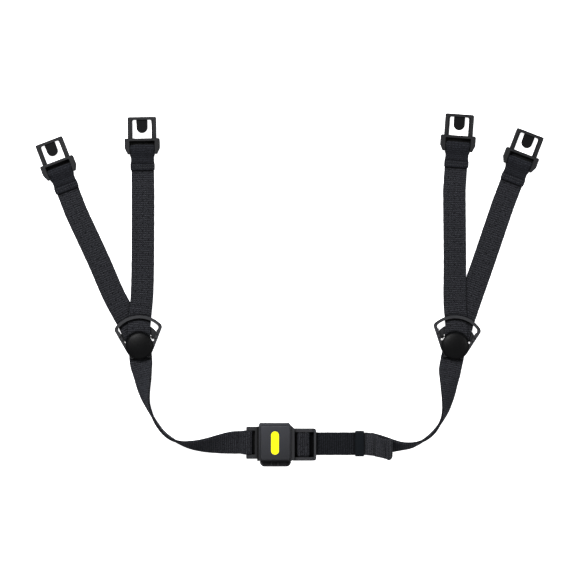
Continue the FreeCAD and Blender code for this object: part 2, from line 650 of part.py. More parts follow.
def tongue_body():
    plate = box(-12.0, 7.6, -10.9, 11.9, 0.0, 3.75)
    # left loop: two arms and the bar the webbing goes round
    neck = box(-13.4, -12.0, -9.5, 11.7, 0.3, 4.4)
    arms = [round_edges(box(LOOP_END_X, -12.5, y_min, y_max, 0.3, 4.4), 1.2,
                        lambda e: abs(e.CenterOfMass.x - LOOP_END_X) < 0.01
                        and e.BoundBox.YLength > 1)
            for y_min, y_max in ((-9.5, -6.7), (9.3, 11.7))]
    bar = cyl_y(LOOP_X, LOOP_Z, -7.0, 9.6, BAR_R)
    # closed floor under the loop's slot
    floor = box(-16.3, -11.5, -9.0, 11.2, 0.0, 0.5)
    tab = box(-10.1, 10.4, TAB_Y, -10.9, 0.0, TAB_TOP)
    tab = round_edges(tab, 3.0, lambda e: upright(e, y=[TAB_Y]))
    tab = round_edges(tab, 0.7, lambda e: at_level(e, TAB_TOP) and e.CenterOfMass.y < -11.5)
    # hooked ribs across the left and right of the plate
    left_rib = prism_y([(-8.6, 3.0), (-6.6, 3.0), (-6.6, 6.6), (-9.4, 6.6), (-9.6, 6.3),
                        (-9.6, 5.6), (-8.6, 5.6)], -10.3, 11.5)
    right_rib = prism_y([(6.0, 3.0), (7.6, 3.0), (7.6, 5.4), (8.4, 5.4), (8.4, 5.8),
                         (7.8, 6.4), (6.0, 6.4)], -10.3, 11.5)
    body = fuse([plate, neck] + arms + [bar, floor, tab, left_rib, right_rib])
    # grip recess in the thumb tab, with two ribs left standing
    recess = box(-7.8, 9.0, -14.0, -11.7, 4.6, 6)
    for x in (-3.0, 1.4):
        recess = recess.cut(box(x, x + 1.0, -15, -11, 4, 7))
    body = body.cut(recess)
    for y in MAG_YS.values():
        body = body.cut(cyl_z(MAG_X, y, -1, TONGUE_MAG_Z[1] + FIT, MAG_R + FIT))
    return one(body.cut(box(BASE_X[0] - FIT, BASE_X[1] + FIT,
                            BASE_Y[0] - FIT, BASE_Y[1] + FIT, -1, BASE_T)))


def tongue_base_plate():
    plate = box(*BASE_X, *BASE_Y, 0.0, BASE_T)
    return one(round_edges(plate, 0.3, lambda e: at_level(e, 0.0)))


# ---------------- buckle socket ----------------
SHELL_X0, SHELL_X1, SHELL_Y0, SHELL_Y1 = -10.8, 10.5, -10.7, 14.3
SHELL_TOP = 8.0
CHAMFER = [(SHELL_X1, 12.6), (9.2, SHELL_Y1)]      # upper right corner
CHANNEL_Y = 12.05                                  # closed end of the tongue's channel
SPRING_X, SPRING_Z = 9.1, 7.45                     # root of the latch spring
SPRING_Y0, SPRING_Y1 = -8.0, 9.0
FRAME_X1, FRAME_TOP = 27.3, 6.4                    # adjuster frame
SLOT_HALF = 8.4
COVER_TOP = 9.0
PAD_TOP = 9.8
INLAY_Z = 9.45


def socket_shell():
    """Walls and deck over the tongue's channel, with the magnet pockets."""
    shell = prism_z([(SHELL_X0, SHELL_Y0), (SHELL_X1, SHELL_Y0), (12.9, -9.9), (12.9, 10.4)]
                    + CHAMFER + [(SHELL_X0, SHELL_Y1)], 0.0, SHELL_TOP)
    shell = round_edges(shell, 1.2, lambda e: upright(e, x=[SHELL_X0])
                        or (upright(e, x=[9.2, SHELL_X1]) and e.CenterOfMass.y > 5))
    # the channel, open at the lower edge and along the left side
    shell = shell.cut(box(-30, 7.75, -30, CHANNEL_Y, -1, 4.0))
    shell = shell.cut(box(7.74, 10.4, -30, CHANNEL_Y, -1, 3.9))
    # room for the left rib, and the lip it sits over
    shell = shell.cut(box(-9.8, -6.4, -30, CHANNEL_Y, 3.9, 6.9))
    shell = shell.fuse(box(SHELL_X0, -8.8, SHELL_Y0, 12.1, 4.1, 5.4))
    # room for the right rib and the latch spring
    shell = shell.cut(box(5.8, 10.4, -30, CHANNEL_Y, 3.8, 6.9))
    # magnet pockets open upward under the cover plate
    for y in MAG_YS.values():
        shell = shell.cut(cyl_z(MAG_X, y, SOCKET_MAG_Z[0], 9, MAG_R + FIT))
    # seat for the latch spring's root
    seat_y = (SPRING_Y0 - FIT, SPRING_Y1 + FIT)
    shell = shell.cut(cyl_y(SPRING_X, SPRING_Z, *seat_y, 0.46))
    return shell.cut(box(8.62, 9.78, *seat_y, 6.0, SPRING_Z))


def adjuster_frame():
    frame = box(12.0, FRAME_X1, -10.6, 10.6, 0.0, FRAME_TOP)
    frame = round_edges(frame, 1.5, lambda e: upright(e, x=[FRAME_X1]))
    frame = round_edges(frame, 0.5, lambda e: at_level(e, FRAME_TOP)
                        and e.CenterOfMass.x > 13.5)
    frame = frame.cut(box(12.9, 25.8, -SLOT_HALF, SLOT_HALF, *THROUGH))
    # webbing leaves under the end bar, which is lower than the sides
    frame = frame.cut(box(20, 30, -SLOT_HALF, SLOT_HALF, -1, 3.1))
    return frame.cut(box(25.0, 30, -12, 12, 5.8, 9))


def socket_body():
    bar = box(ADJ_X0, ADJ_X1, -9.0, 9.0, ADJ_Z0, ADJ_Z1)
    bar = round_edges(bar, 0.6, lambda e: e.BoundBox.YLength > 10)
    # closed floor under both slots, just below the webbing
    floor = box(12.0, 26.0, -9.0, 9.0, 0.0, 0.8)
    body = socket_shell().fuse(adjuster_frame()).fuse(bar).fuse(floor)
    # clear the space between the channel and the frame
    return one(body.cut(box(10.45, 12.0, -SLOT_HALF, SLOT_HALF, -1, 2.9)))


def latch_spring():
    span = (SPRING_Y0, SPRING_Y1)
    blade = prism_y([(8.7, 4.1), (9.5, 4.1), (9.5, SPRING_Z), (8.7, SPRING_Z)], *span)
    hook = prism_y([(7.8, 4.3), (8.8, 4.1), (8.8, 5.25), (7.8, 5.2)], *span)
    return fuse([blade, hook, cyl_y(SPRING_X, SPRING_Z, *span, 0.42)])


def pill(grow, z_min, z_max):
    """Round-ended block along Y, let into the cover."""
    x, radius = -0.1, 3.1
    y_min, y_max = -6.9 + radius, 9.5 - radius
    grown = radius + grow
    block = box(x - grown, x + grown, y_min, y_max, z_min, z_max)
    for y in (y_min, y_max):
        block = block.fuse(cyl_z(x, y, z_min, z_max, grown))
    return block.removeSplitter()


def cover_plate():
    base = prism_z([(SHELL_X0, SHELL_Y0), (SHELL_X1, SHELL_Y0)] + CHAMFER
                   + [(SHELL_X0, SHELL_Y1)], SHELL_TOP, COVER_TOP)
    base = round_edges(base, 1.2, lambda e: upright(e, x=[SHELL_X0, 9.2, SHELL_X1]))
    base = round_edges(base, 0.4, lambda e: at_level(e, COVER_TOP))
    pad = box(-9.7, 9.9, -10.1, 12.7, 8.5, PAD_TOP)
    pad = round_edges(pad, 1.5, upright)
    pad = round_edges(pad, 0.6, lambda e: at_level(e, PAD_TOP))
    return one(base.fuse(pad).cut(pill(0.06, INLAY_Z, 11.0)))


# ---------------- build every piece ----------------
def main():
    at_clips = {"clip": make_clip(), "clip_tongue": make_clip_tongue(),
                "stitching": make_stitching()}
    for name, spot in CLIPS.items():
        for piece, shape in at_clips.items():
            save(name + "_" + piece, put(shape, spot))
    at_dividers = {"divider_frame": make_divider_frame(), "divider_pin": make_divider_pin(),
                   "lock_cap": make_lock_cap()}
    for side, spot in DIVIDERS.items():
        for piece, shape in at_dividers.items():
            save(side + "_" + piece, put(shape, spot))
        for end in ("front", "rear"):
            save(side + "_" + end + "_strap", make_leg(side, end))
    save("left_chin_webbing", left_chin())
    save("right_chin_webbing", right_chin())
    save("adjuster_webbing", adjuster_webbing())
    save("tail_webbing", tail())
    save("strap_keeper", keeper())
    save("buckle_tongue", tongue_body())
    save("tongue_base_plate", tongue_base_plate())
    for level, y in MAG_YS.items():
        save("tongue_magnet_" + level, cyl_z(MAG_X, y, *TONGUE_MAG_Z, MAG_R))
        save("socket_magnet_" + level, cyl_z(MAG_X, y, *SOCKET_MAG_Z, MAG_R))
    save("buckle_socket", socket_body())
    save("latch_spring", latch_spring())
    save("cover_plate", cover_plate())
    save("cover_inlay", one(pill(0.0, INLAY_Z, PAD_TOP + 0.1)))


main()
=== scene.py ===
"""Chin strap: four webbing legs, two dividers, chin webbing, an adjuster and a buckle.

The strap lies flat on the floor in the XY plane, with +Z up. The clips are at the
+Y end, the dividers below them and the buckle near the origin. The left side is at
-X, and the free tail points to +X. Webbing is built in millimetres; materials,
stage and blend points are in metres.
"""

import math

import bmesh
import bpy
import numpy as np
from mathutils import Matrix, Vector

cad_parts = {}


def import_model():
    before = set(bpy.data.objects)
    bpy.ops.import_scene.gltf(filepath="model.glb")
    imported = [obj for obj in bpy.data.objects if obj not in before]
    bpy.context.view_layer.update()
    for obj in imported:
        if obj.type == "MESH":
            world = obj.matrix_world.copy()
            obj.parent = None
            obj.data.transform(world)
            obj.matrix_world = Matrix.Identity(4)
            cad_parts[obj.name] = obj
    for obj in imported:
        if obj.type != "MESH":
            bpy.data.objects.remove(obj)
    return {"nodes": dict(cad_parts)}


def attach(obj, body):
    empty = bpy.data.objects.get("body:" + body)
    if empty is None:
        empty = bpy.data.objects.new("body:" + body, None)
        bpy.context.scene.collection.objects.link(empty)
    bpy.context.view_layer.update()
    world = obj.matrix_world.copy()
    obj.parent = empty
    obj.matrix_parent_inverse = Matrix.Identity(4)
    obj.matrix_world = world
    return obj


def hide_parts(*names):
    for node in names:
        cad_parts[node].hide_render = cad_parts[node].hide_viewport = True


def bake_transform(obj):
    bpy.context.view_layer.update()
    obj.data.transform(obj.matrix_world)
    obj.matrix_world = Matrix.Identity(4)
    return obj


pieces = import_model()["nodes"]
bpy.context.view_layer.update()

MM = 0.001
UP = np.array([0.0, 0.0, 1.0])
ALONG_Y = np.array([0.0, 1.0, 0.0])

# x, y and turn about Z in degrees
CLIPS = {
    "left_front": (-88.8, 204.1, 0.9),
    "left_rear": (-146.1, 189.1, 21.0),
    "right_front": (122.2, 206.0, -4.2),
    "right_rear": (165.3, 194.5, -21.0),
}
DIVIDERS = {"left": (-90.5, 65.8, 4.5), "right": (119.9, 65.8, -7.5)}

WEB_HALF_WIDTH = 7.5
WEB_THICKNESS = 0.9
WEFT_PITCH = 1.45        # one rib of the weave
BACK_SHIFT = 40.0        # the tape's back face is moved this far along U
LAYER_OFFSET = 0.47      # from the middle of doubled webbing to either layer
KEEPER_X = 56.3
ADJUSTER_Y = 0.42


# ------------------------------------------------------------------ materials
def scaled(colour, factor):
    return tuple(factor * channel for channel in colour)


class Nodes:
    """Short calls for building the node tree of a material or a world."""

    def __init__(self, owner):
        owner.use_nodes = True
        self.owner = owner
        self.tree = owner.node_tree

    def feed(self, node, inputs):
        """Link or set a node's inputs, keyed by name or index."""
        for key, value in inputs.items():
            if isinstance(value, bpy.types.NodeSocket):
                self.tree.links.new(value, node.inputs[key])
            else:
                node.inputs[key].default_value = value

    def new(self, kind, inputs=None, **settings):
        node = self.tree.nodes.new("ShaderNode" + kind)
        for key, value in settings.items():
            setattr(node, key, value)
        self.feed(node, inputs or {})
        return node.outputs

    def math(self, operation, *values, clamp=False):
        inputs = dict(enumerate(values))
        return self.new("Math", inputs, operation=operation, use_clamp=clamp)[0]

    def mul(self, first, second, clamp=False):
        return self.math("MULTIPLY", first, second, clamp=clamp)

    def mul_add(self, value, factor, addend, clamp=False):
        return self.math("MULTIPLY_ADD", value, factor, addend, clamp=clamp)

    def half_wave(self, phase, power):
        """A hump between phase 0 and 1; a low power makes it blunt."""
        return self.math("POWER", self.math("SINE", self.mul(phase, math.pi)), power)

    def distance(self, x, y):
        return self.math("SQRT", self.math("ADD", self.mul(x, x), self.mul(y, y)))

    def mix(self, factor, first, second):
        inputs = {0: factor}
        for key, colour in ((6, first), (7, second)):
            inputs[key] = (*colour, 1.0) if isinstance(colour, tuple) else colour
        return self.new("Mix", inputs, data_type="RGBA")[2]

    def noise(self, place, scale, detail=2.0, rough=0.5):
        return self.new("TexNoise", {
            "Scale": scale, "Detail": detail, "Roughness": rough, "Vector": place})["Fac"]

    def split(self, vector):
        return list(self.new("SeparateXYZ", {0: vector}))

    def object_space(self):
        return self.new("TexCoord")["Object"]

    def bump(self, height, strength, distance):
        return self.new("Bump", {
            "Strength": strength, "Distance": distance, "Height": height})[0]

    def painted_crevice_shade(self, colour, reach, power):
        """Painted shade in gaps and corners: an ambient occlusion node darkens the colour."""
        open_part = self.new("AmbientOcclusion", {"Distance": reach}, samples=8)["AO"]
        return self.mix(self.math("POWER", open_part, power), (0.0006, 0.0006, 0.0008), colour)

    def surface(self, inputs):
        """Fill in the Principled shader and return the finished material."""
        self.feed(self.tree.nodes["Principled BSDF"], inputs)
        return self.owner


def new_material(name):
    return Nodes(bpy.data.materials.new(name))


def webbing_material(name, dark, light, ribs, fuzz, holes=False):
    """Woven tape on a UV map in millimetres: U across, V along.

    ribs is the share of weft rib against warp floats, fuzz the height of loose
    fibres, and holes adds three columns of small dark interlacing points.
    """
    yarn_width = 0.62
    mat = new_material(name)
    place = mat.new("UVMap", uv_map="mm")[0]
    across, along = mat.split(place)[:2]
    wobbled = mat.mul_add(mat.noise(place, scale=0.35), 0.5, along)

    # warp floats, every second column shifted by half a pitch
    yarn = mat.math("DIVIDE", across, yarn_width)
    shift = mat.mul(mat.math("FLOORED_MODULO", mat.math("FLOOR", yarn), 2.0), 0.5)
    float_phase = mat.math("ADD", mat.math("DIVIDE", wobbled, WEFT_PITCH), shift)
    float_across = mat.half_wave(mat.math("FRACT", yarn), power=0.5)
    float_along = mat.half_wave(mat.math("FRACT", float_phase), power=0.8)
    cell = mat.mul(float_across, float_along)
    rib_phase = mat.math("FRACT", mat.math("DIVIDE", wobbled, WEFT_PITCH))
    rib = mat.half_wave(rib_phase, power=0.9)

    # height: slanted filaments inside each yarn, then ribs and fuzz
    slant, filament_rate, filament_height = 0.35, 38.0, 0.06
    filament = mat.math("SINE", mat.mul(mat.mul_add(wobbled, slant, across), filament_rate))
    height = mat.mul_add(filament, filament_height, cell)
    height = mat.mul_add(rib, 0.9 * ribs, height)
    grain = mat.noise(place, scale=3.2, detail=3.0, rough=0.6)
    height = mat.mul_add(grain, fuzz, height)

    # brightness: ribs and floats, broken up by patches
    patch_floor, patch_contrast = 0.36, 3.2
    patch_gain, patch_base = 0.95, 0.30
    patches = mat.noise(place, scale=1.15, detail=3.0, rough=0.7)
    patches = mat.mul(mat.math("SUBTRACT", patches, patch_floor), patch_contrast, clamp=True)
    bright = mat.mul_add(rib, ribs, mat.mul(cell, 0.75 * (1 - ribs)))
    bright = mat.mul(bright, mat.mul_add(patches, patch_gain, patch_base), clamp=True)

    if holes:
        spacing, middle = 4.93, 2.46
        core, rim = 0.22, 0.34       # radius of full dark, width of its soft edge
        shade_gain, shade_base, depth = 0.85, 0.15, 0.6
        back = mat.math("GREATER_THAN", across, BACK_SHIFT / 2)
        face_across = mat.math("SUBTRACT", across, mat.mul(back, BACK_SHIFT))
        for column, offset in ((-4.3, 0.0), (-0.2, 1.0), (3.7, 0.0)):
            hole_x = mat.math("SUBTRACT", face_across, column)
            cycle = mat.math("FLOORED_MODULO", mat.math("ADD", along, offset), spacing)
            radius = mat.distance(hole_x, mat.math("SUBTRACT", cycle, middle))
            outside = mat.math("DIVIDE", mat.math("SUBTRACT", radius, core), rim, clamp=True)
            bright = mat.mul(bright, mat.mul_add(outside, shade_gain, shade_base))
            height = mat.mul_add(outside, depth, height)

    # sparse dark specks
    speck_level, speck_amount, speck_shade = 0.69, 0.45, 0.45
    colour = mat.mix(bright, dark, light)
    speck = mat.math("GREATER_THAN", mat.noise(place, scale=1.6, detail=1.0), speck_level)
    colour = mat.mix(mat.mul(speck, speck_amount), colour, scaled(dark, speck_shade))
    return mat.surface({
        # colour darkened in gaps and corners as painted shade
        "Base Color": mat.painted_crevice_shade(colour, reach=0.0022, power=1.6),
        "Roughness": mat.mul_add(grain, factor=0.25, addend=0.62),
        "Specular IOR Level": 0.12,
        "Sheen Weight": 0.09,
        "Sheen Roughness": 0.45,
        "Sheen Tint": (0.75, 0.8, 0.95, 1),
        "Normal": mat.bump(height, strength=0.9, distance=0.00034),
    })


def thread_material(name, colour):
    mat = new_material(name)
    fibre = mat.noise(mat.object_space(), scale=6000)
    return mat.surface({
        "Base Color": mat.mix(fibre, scaled(colour, 0.6), colour),
        "Roughness": 0.6,
        "Sheen Weight": 0.3,
        "Normal": mat.bump(fibre, strength=0.6, distance=0.0001),
    })


def plastic_material(name, colour, rough, grain, specular, scale=2600.0, wear=0.35,
                     painted_light_grade=False):
    """Moulded plastic with fine texture, flow marks and rubbed spots.

    The grade flag paints on light and shade: the piece runs from dark to light towards +Y and -X, the
    side the key light comes from.
    """
    mat = new_material(name)
    place = mat.object_space()
    fine = mat.noise(place, scale=scale, detail=3.0, rough=0.65)
    flow = mat.noise(place, scale=90.0, detail=3.0)
    rub = mat.noise(place, scale=380.0, detail=4.0, rough=0.7)
    tint = mat.mix(flow, scaled(colour, 0.8), scaled(colour, 1.25))
    rub_level = 0.66
    spots = mat.mul(mat.math("GREATER_THAN", rub, rub_level), wear * 0.5)
    tint = mat.mix(spots, tint, scaled(colour, 1.9))
    if painted_light_grade:
        # painted light and shade: darker away from the key light, lighter towards it
        x, y = mat.split(place)[:2]
        share_x, share_y = 0.3, 0.7
        by_y = mat.mul_add(y, factor=40.0, addend=0.45, clamp=True)
        by_x = mat.mul_add(x, factor=-22.0, addend=0.5, clamp=True)
        blend = mat.mul_add(by_x, share_x, mat.mul(by_y, share_y))
        tint = mat.mix(blend, scaled(colour, 0.62), scaled(colour, 1.55))
    rough_swing, rub_swing = 0.22, 0.12
    roughness = mat.mul_add(fine, rough_swing, rough - rough_swing / 2)
    return mat.surface({
        # colour darkened in gaps and corners as painted shade
        "Base Color": mat.painted_crevice_shade(tint, reach=0.0035, power=1.5),
        "Roughness": mat.mul_add(rub, rub_swing, roughness),
        "Specular IOR Level": specular,
        "Normal": mat.bump(fine, strength=grain, distance=0.00012),
    })


def metal_material(name, colour, rough, stretch):
    """Metal whose fine marks are scaled by stretch along X, Y and Z."""
    mat = new_material(name)
    place = mat.new("Mapping", {"Scale": stretch, "Vector": mat.object_space()})[0]
    marks = mat.noise(place, scale=900.0, detail=3.0)
    return mat.surface({
        "Base Color": mat.mix(marks, scaled(colour, 0.8), colour),
        "Metallic": 1.0,
        "Roughness": mat.mul_add(marks, factor=0.25, addend=rough),
        "Normal": mat.bump(marks, strength=0.25, distance=0.00005),
    })


def inlay_material(name):
    """Yellow bar along Y with a thin dark blue outline."""
    x_shift = 0.1                        # millimetres
    bar_bottom, bar_top, bar_radius = -3.8, 6.4, 2.7
    mat = new_material(name)
    place = mat.object_space()
    x, y = mat.split(place)[:2]
    x = mat.math("ADD", mat.mul(x, 1000.0), x_shift)
    y = mat.mul(y, 1000.0)
    on_bar = mat.math("MAXIMUM", mat.math("MINIMUM", y, bar_top), bar_bottom)
    radius = mat.distance(x, mat.math("SUBTRACT", y, on_bar))
    outline = mat.math("GREATER_THAN", radius, bar_radius)
    mottle = mat.noise(place, scale=1500.0)
    yellow = mat.mix(mottle, (0.86, 0.80, 0.004), (0.93, 0.88, 0.010))
    return mat.surface({
        "Base Color": mat.mix(outline, yellow, (0.012, 0.014, 0.09)),
        "Roughness": 0.45,
        "Normal": mat.bump(mottle, strength=0.15, distance=0.00005),
    })


WEB = webbing_material("webbing", dark=(0.003, 0.0031, 0.0038),
                       light=(0.090, 0.0918, 0.104), ribs=0.5, fuzz=0.35, holes=True)
# darker ribbed webbing for the tail; on the adjuster tape it is painted shade down in the frame's
# slots
WEB_DARK = webbing_material("webbing_ribbed", dark=(0.001, 0.0011, 0.0014),
                            light=(0.040, 0.043, 0.051), ribs=0.8, fuzz=0.3)
# near-black webbing: painted shade on the tape deep in the adjuster's right slot
WEB_SLOT_SHADE = webbing_material("webbing_slot_painted_shade", dark=(0.0006, 0.0006, 0.0008),
                            light=(0.007, 0.0075, 0.009), ribs=0.8, fuzz=0.3)
WEB_FOLD = webbing_material("webbing_fold", dark=(0.002, 0.0021, 0.0028),
                            light=(0.066, 0.069, 0.082), ribs=0.4, fuzz=0.5)
# lighter, fuzzier webbing for the tail's raised hem end; its lightness is a painted highlight
WEB_HEM_HIGHLIGHT = webbing_material("webbing_hem_painted_highlight", dark=(0.003, 0.003, 0.0036),
                           light=(0.145, 0.147, 0.162), ribs=0.35, fuzz=1.0)
THREAD = thread_material("thread", (0.055, 0.057, 0.066))
THREAD_DARK = thread_material("thread_dark", (0.010, 0.010, 0.012))
HARD = plastic_material("hardware_plastic", (0.040, 0.0405, 0.0440),
                        rough=0.44, grain=0.4, specular=0.35)
CLIP = plastic_material("clip_plastic", (0.018, 0.0183, 0.0200),
                        rough=0.46, grain=0.4, specular=0.3)
TONGUE = plastic_material("clip_tongue_plastic", (0.006, 0.006, 0.0068),
                          rough=0.5, grain=0.4, specular=0.15)
# the cover gets painted light and shade, lighter towards the key light
COVER = plastic_material("cover_plastic", (0.040, 0.0408, 0.0465),
                         rough=0.40, grain=0.35, specular=0.4, scale=3200.0, painted_light_grade=True)
CAP = plastic_material("cap_plastic", (0.0035, 0.0036, 0.0041),
                       rough=0.40, grain=0.3, specular=0.20, scale=3000.0)
RUBBER = plastic_material("keeper_rubber", (0.007, 0.0100, 0.0135),
                          rough=0.45, grain=0.15, specular=0.2, scale=1200.0, wear=0.1)
SPRING = plastic_material("spring_plastic", (0.05, 0.05, 0.052),
                          rough=0.35, grain=0.2, specular=0.45)
NICKEL = metal_material("nickel", (0.75, 0.73, 0.70), rough=0.18, stretch=(1, 1, 1))
STEEL = metal_material("pin_steel", (0.55, 0.55, 0.56), rough=0.25, stretch=(0.1, 4, 4))
INLAY = inlay_material("inlay_yellow")

BY_ENDING = {"_clip": CLIP, "_clip_tongue": TONGUE, "divider_frame": HARD,
             "lock_cap": CAP, "divider_pin": STEEL}
BY_NAME = {"buckle_socket": HARD, "buckle_tongue": HARD, "tongue_base_plate": HARD,
           "cover_plate": COVER, "cover_inlay": INLAY, "latch_spring": SPRING}


def paint(name, material):
    slots = pieces[name].data.materials
    slots.clear()
    slots.append(material)


def paint_pieces():
    for name in pieces:
        for ending, material in BY_ENDING.items():
            if name.endswith(ending):
                paint(name, material)
                break
        else:
            if "magnet" in name:
                paint(name, NICKEL)
    for name, material in BY_NAME.items():
        paint(name, material)


# ------------------------------------------------------------------ curve helpers
def unit(rows):
    return rows / np.maximum(1e-9, np.linalg.norm(rows, axis=-1, keepdims=True))


def spline(stations, step):
    """Catmull-Rom through rows of any width, spaced by the first three columns."""
    rows = np.array(stations, float)
    out = []
    last = len(rows) - 1
    for i in range(last):
        before, here, ahead, after = rows[max(0, i - 1)], rows[i], rows[i + 1], rows[min(last, i + 2)]
        count = max(1, int(round(np.linalg.norm((ahead - here)[:3]) / step)))
        for j in range(count):
            t = j / count
            out.append(0.5 * (2 * here + (ahead - before) * t
                              + (2 * before - 5 * here + 4 * ahead - after) * t * t
                              + (3 * here - before - 3 * ahead + after) * t ** 3))
    out.append(rows[-1])
    return np.array(out)


def resample(points, extra, step):
    """Even spacing by arc length; returns points, extra columns and lengths."""
    length = np.r_[0, np.cumsum(np.linalg.norm(np.diff(points, axis=0), axis=1))]
    keep = np.r_[True, np.diff(length) > 1e-6]
    length, points, extra = length[keep], points[keep], extra[keep]
    count = max(2, int(round(length[-1] / step)) + 1)
    even = np.linspace(0, length[-1], count)

    def spread(table):
        return np.stack([np.interp(even, length, column) for column in table.T], 1)
    return spread(points), spread(extra), even


def smooth_rows(rows, passes=2):
    for _ in range(passes):
        smoothed = rows.copy()
        smoothed[1:-1] = 0.25 * rows[:-2] + 0.5 * rows[1:-1] + 0.25 * rows[2:]
        rows = smoothed
    return rows


def square_to(tangent, width):
    """The width directions made perpendicular to the tangents."""
    return unit(width - (width * tangent).sum(1, keepdims=True) * tangent)


def turned_left(tangent):
    """Tangents turned a quarter left in plan and laid level."""
    return np.stack([-tangent[:, 1], tangent[:, 0], 0 * tangent[:, 0]], 1)


def arc(degrees):
    return [(math.cos(math.radians(q)), math.sin(math.radians(q))) for q in degrees]


def ease(value, low, high):
    t = np.clip((value - low) / (high - low), 0, 1)
    return t * t * (3 - 2 * t)


def spot_frame(spot):
    """Centre, local X and local Y of a clip or divider."""
    x, y, turn = spot
    cos, sin = arc([turn])[0]
    return np.array([x, y, 0.0]), np.array([cos, sin, 0.0]), np.array([-sin, cos, 0.0])


# ------------------------------------------------------------------ mesh builder
def tape_profile():
    """Cross-section in half widths and half thicknesses, from the upper left."""
    segments = 14
    inner = np.linspace(-1, 1, segments + 1)
    inner = (np.sign(inner) * np.abs(inner) ** 0.92)[1:-1]
    edge = np.array([(0.978, 0.93), (1.0, 0.45), (1.008, 0.0), (1.0, -0.45), (0.978, -0.93)])
    top = np.column_stack([inner, np.ones(len(inner))])
    bottom = np.column_stack([inner[::-1], -np.ones(len(inner))])
    return np.concatenate([-edge[-1:], top, edge, bottom, -edge[:-1]])


PROFILE = tape_profile()


class Builder:
    """Collects vertices, faces and one UV pair per face corner, in millimetres."""

    def __init__(self):
        self.verts, self.faces, self.uvs = [], [], []

    def tape(self, points, widths, step, weave_start=0.0, shape=None, flare=None):
        """Sweep woven tape along a centreline.

        widths are the width directions, flare is (lengths, extra half widths), and
        shape(points, across, along) moves the finished points in place.
        """
        path, width, along = resample(np.array(points, float), np.array(widths, float), step)
        width = smooth_rows(width)
        tangent = unit(smooth_rows(unit(np.gradient(path, axis=0))))
        width = square_to(tangent, width)
        normal = np.cross(tangent, width)

        side, level = PROFILE.T
        half = (WEB_HALF_WIDTH + (np.interp(along, *flare) if flare else 0.0)
                + 0.05 * np.sin(along * 0.9) * np.sin(along * 0.23))
        across = side[None, :] * half[:, None]
        rib_height = 0.045
        weave = along + weave_start
        ribs = rib_height * (np.abs(np.sin(np.pi * weave / WEFT_PITCH)) ** 0.8 - 0.6)
        rise = level[None, :] * (WEB_THICKNESS / 2) + ribs[:, None] * level[None, :]
        # the selvedge is a little thinner
        rise = rise * (1 - 0.10 * np.clip((np.abs(side) - 0.86) / 0.1, 0, 1))[None, :]
        skin = (path[:, None, :] + width[:, None, :] * across[:, :, None]
                + normal[:, None, :] * rise[:, :, None])
        if shape is not None:
            shape(skin, across, along)

        base = len(self.verts)
        rows, columns = len(path), len(PROFILE)
        self.verts += [tuple(point) for point in skin.reshape(-1, 3)]
        flat = side * WEB_HALF_WIDTH
        across_uv = np.where(level >= 0, flat, BACK_SHIFT - flat)
        for i in range(rows - 1):
            here, there = base + i * columns, base + (i + 1) * columns
            low, high = weave[i], weave[i + 1]
            for j in range(columns):
                k = (j + 1) % columns
                self.faces.append((here + j, there + j, there + k, here + k))
                start, end = across_uv[j], across_uv[k]
                if abs(end - start) > BACK_SHIFT / 2:
                    end = start
                self.uvs += [(start, low), (start, high), (end, high), (end, low)]
        for i, order in ((0, 1), (rows - 1, -1)):
            ring = [base + i * columns + j for j in range(columns)]
            self.faces.append(tuple(ring[::order]))
            self.uvs += [(0.3 * k, weave[i]) for k in range(columns)]

    def wrap(self, base, rows, columns, closed=False):
        """Quads between consecutive rings of vertices."""
        for i in range(rows if closed else rows - 1):
            here, there = base + i * columns, base + (i + 1) % rows * columns
            for j in range(columns):
                k = (j + 1) % columns
                self.faces.append((here + j, here + k, there + k, there + j))
                self.uvs += [(0, 0)] * 4

    def tube(self, path, radius, sides):
        """Round thread with narrowed, capped ends."""
        tangent = unit(np.gradient(path, axis=0))
        level = unit(np.cross(tangent, UP))
        upright = np.cross(level, tangent)
        rows = len(path)
        radii = radius * np.ones(rows)
        radii[0] = radii[-1] = 0.35 * radius
        base = len(self.verts)
        for i in range(rows):
            for j in range(sides):
                angle = 2 * math.pi * j / sides
                ring = level[i] * math.cos(angle) + upright[i] * math.sin(angle)
                self.verts.append(tuple(path[i] + radii[i] * ring))
        self.wrap(base, rows, sides)
        for i, order in ((0, -1), (rows - 1, 1)):
            ring = [base + i * sides + j for j in range(sides)]
            self.faces.append(tuple(ring[::order]))
            self.uvs += [(0, 0)] * sides

    def stitch(self, start, end, normal, radius, rise, sink):
        """One stitch that rises above the cloth and sinks into it at both ends."""
        t = np.linspace(0, 1, 7)[:, None]
        hump = np.sin(np.pi * t) ** 0.6
        path = start + (end - start) * t + normal * (hump * (rise + sink) - sink)
        self.tube(path, radius, sides=7)

    def stitch_row(self, origin, across, normal, start, stop, wander=0.0,
                   radius=0.17, rise=0.16, sink=0.22):
        """Stitches along across; wander is how far they stray from the line."""
        length, pitch = 1.15, 1.5
        x = start
        while x < stop:
            first = origin + across * x + wander * math.sin(7 * x)
            second = origin + across * (x + length) + wander * math.sin(7 * x + 2)
            self.stitch(first, second, normal, radius, rise, sink)
            x += pitch

    def make(self, name, *materials):
        mesh = bpy.data.meshes.new(name)
        mesh.from_pydata([(x * MM, y * MM, z * MM) for x, y, z in self.verts], [], self.faces)
        layer = mesh.uv_layers.new(name="mm")
        layer.data.foreach_set("uv", np.array(self.uvs, np.float32).reshape(-1))
        for material in materials:
            mesh.materials.append(material)
        mesh.validate()
        mesh.update()
        mesh.polygons.foreach_set("use_smooth", [True] * len(mesh.polygons))
        thing = bpy.data.objects.new(name, mesh)
        bpy.context.scene.collection.objects.link(thing)
        work = bmesh.new()
        work.from_mesh(mesh)
        bmesh.ops.recalc_face_normals(work, faces=work.faces)
        work.to_mesh(mesh)
        work.free()
        return thing


def use_slot(thing, slot, test):
    """Give a material slot to the faces whose centre, in millimetres, passes."""
    for face in thing.data.polygons:
        if test(*(face.center * 1000.0)):
            face.material_index = slot


